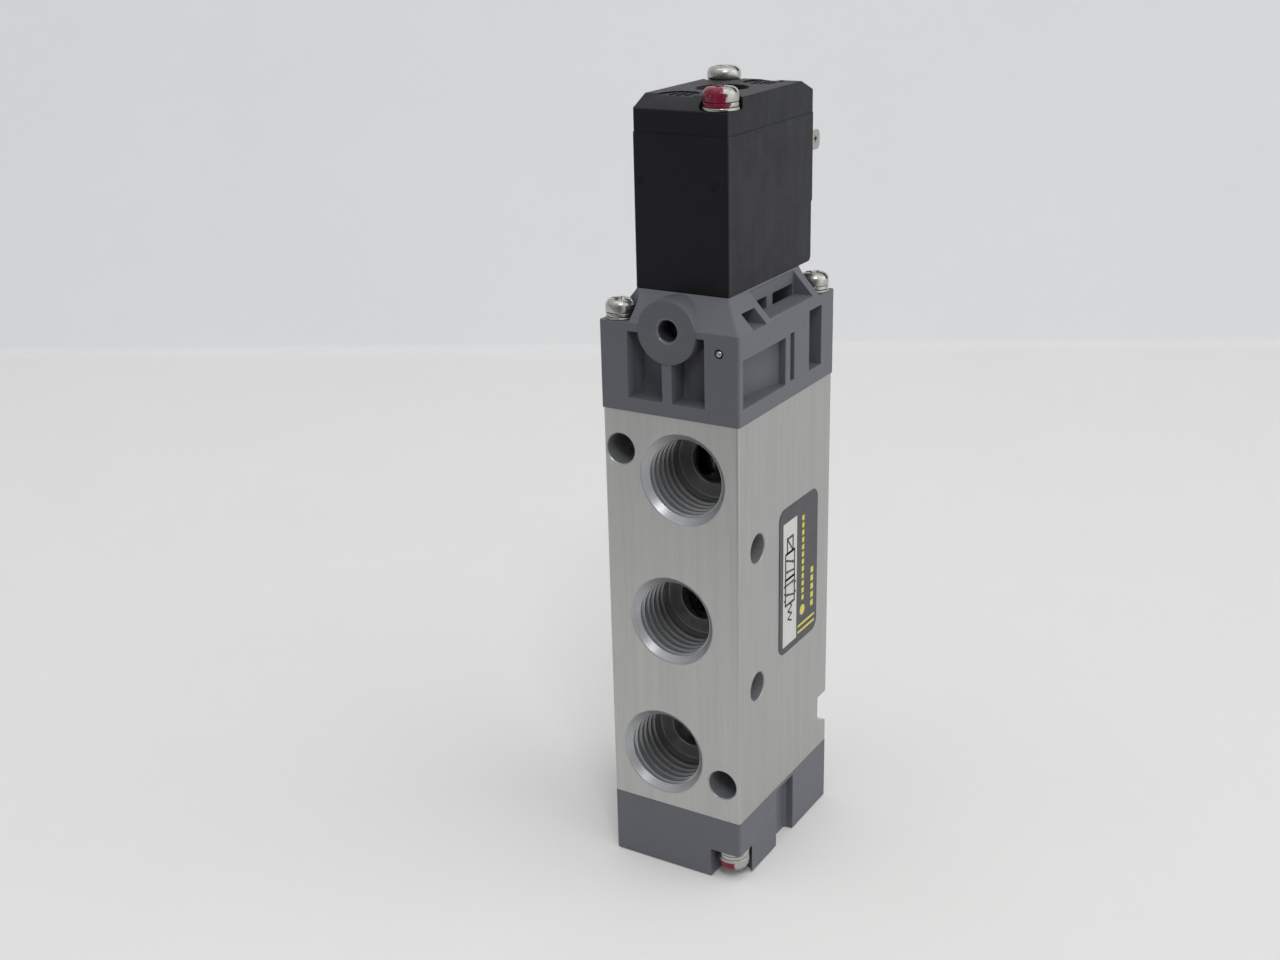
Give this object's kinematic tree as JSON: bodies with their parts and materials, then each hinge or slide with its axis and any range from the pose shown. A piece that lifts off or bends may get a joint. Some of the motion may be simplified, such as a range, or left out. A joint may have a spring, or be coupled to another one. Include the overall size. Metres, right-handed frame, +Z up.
{
  "type": "solenoid directional valve",
  "caption": "Compact solenoid-piloted spool valve: ported aluminium body between a grey pilot cover and end cap, with a black coil block on top.",
  "frame": {"origin": "on the spool axis, at the level of the end cap's bottom face", "axes": "+Z up the spool axis towards the coil block, the face with three ports looks along -Y, the labelled side along +X"},
  "size_m": [0.0222, 0.038, 0.1188],
  "materials": {
    "aluminium": "fine vertical brushed grain, clear anodised",
    "grey_plastic": "moulded, fine matt texture",
    "black_plastic": "moulded, satin",
    "nickel": "nickel plated, satin",
    "steel": "ground",
    "rubber": "matt",
    "brass": "turned",
    "copper": "enamelled wire",
    "acetal": "moulded",
    "label": "printed foil label"
  },
  "bodies": {
    "valve": {"ball_plug": "steel", "bobbin": "acetal", "cap_flat_washer_front": "nickel", "cap_flat_washer_rear": "nickel", "cap_lock_washer_front": "nickel", "cap_lock_washer_rear": "nickel", "cap_screw_front": "nickel", "cap_screw_rear": "nickel", "cap_seal": "rubber", "coil_cap": "black_plastic", "coil_flat_washer_front": "nickel", "coil_flat_washer_rear": "nickel", "coil_housing": "black_plastic", "coil_lock_washer_front": "nickel", "coil_lock_washer_rear": "nickel", "coil_screw_front": "nickel", "coil_screw_rear": "nickel", "coil_winding": "copper", "contact_blade_left": "nickel", "contact_blade_right": "nickel", "core_tube": "steel", "cover_flat_washer_front": "nickel", "cover_flat_washer_rear": "nickel", "cover_lock_washer_front": "nickel", "cover_lock_washer_rear": "nickel", "cover_screw_front": "nickel", "cover_screw_rear": "nickel", "cover_seal": "rubber", "earth_blade": "nickel", "end_cap": "grey_plastic", "fixed_core": "steel", "label_plate": "label", "magnet_yoke": "steel", "override_spring": "steel", "pilot_cover": "grey_plastic", "pilot_gasket": "rubber", "pilot_nozzle": "brass", "plunger_spring": "steel", "return_spring": "steel", "spool_guide_lower": "brass", "spool_guide_upper": "brass", "spool_seal_1": "rubber", "spool_seal_2": "rubber", "spool_seal_3": "rubber", "spool_seal_4": "rubber", "spool_seal_5": "rubber", "spool_seal_6": "rubber", "spool_spacer_1": "black_plastic", "spool_spacer_2": "black_plastic", "spool_spacer_3": "black_plastic", "spool_spacer_4": "black_plastic", "spool_spacer_5": "black_plastic", "valve_body": "aluminium"},
    "spool_set": {"spool": "steel", "pilot_piston": "acetal", "pilot_piston_seal": "rubber"},
    "plunger_set": {"plunger": "steel", "plunger_seat_disc": "rubber"},
    "override_set": {"override_pin": "black_plastic", "override_oring": "rubber"}
  },
  "joints": [
    {"name": "spool_shift", "type": "slide", "parent": "valve", "child": "spool_set", "axis": [0, 0, -1], "range_m": [0, 0.004], "deforming": ["return_spring"]},
    {"name": "plunger_lift", "type": "slide", "parent": "valve", "child": "plunger_set", "axis": [0, 0, 1], "range_m": [0, 0.0007], "deforming": ["plunger_spring"]},
    {"name": "override_push", "type": "slide", "parent": "valve", "child": "override_set", "axis": [0, 1, 0], "range_m": [0, 0.0015], "deforming": ["override_spring"]}
  ]
}
